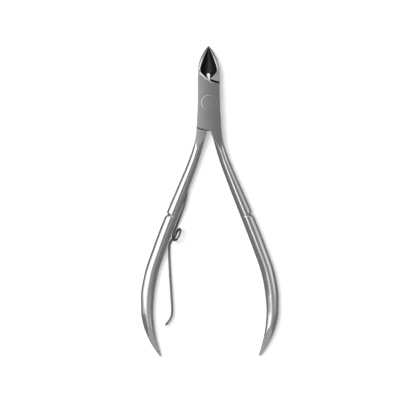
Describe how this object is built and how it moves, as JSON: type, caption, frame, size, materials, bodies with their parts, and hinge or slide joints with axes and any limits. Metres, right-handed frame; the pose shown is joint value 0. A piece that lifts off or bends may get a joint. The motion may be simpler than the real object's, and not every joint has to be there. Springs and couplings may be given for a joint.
{
  "type": "cuticle nipper",
  "caption": "Lap-joint steel cuticle nipper with pointed hollow-ground jaws, bowed handles and a wire spring; trims cuticles.",
  "frame": {"origin": "on the rivet's axis, at the flat rear face that the nipper lies on", "axes": "+Y from the rivet to the tip of the jaws, +Z out of the front face along the rivet, +X to the right seen from the front"},
  "size_m": [0.0496, 0.112, 0.0054],
  "materials": {
    "polished_steel": "polished handles, satin joint faces",
    "rivet_steel": "satin",
    "spring_wire": "drawn wire"
  },
  "bodies": {
    "rear": {"rear_half": "polished_steel", "pivot_rivet": "rivet_steel", "spring_leg": "spring_wire", "spring_coil": "spring_wire"},
    "front": {"front_half": "polished_steel"},
    "spring": {"spring_arm": "spring_wire"}
  },
  "joints": [
    {"name": "jaw_pivot", "type": "hinge", "parent": "rear", "child": "front", "pos_m": [0, 0, 0], "axis": [0, 0, 1], "range_deg": [0, 16]},
    {"name": "spring_swing", "type": "hinge", "parent": "rear", "child": "spring", "pos_m": [-0.01211, -0.04714, 0.00054], "axis": [0, 0, 1], "range_deg": [0, 70], "stiffness_Nm_per_rad": 0.04, "deforming": ["spring_coil"]}
  ]
}
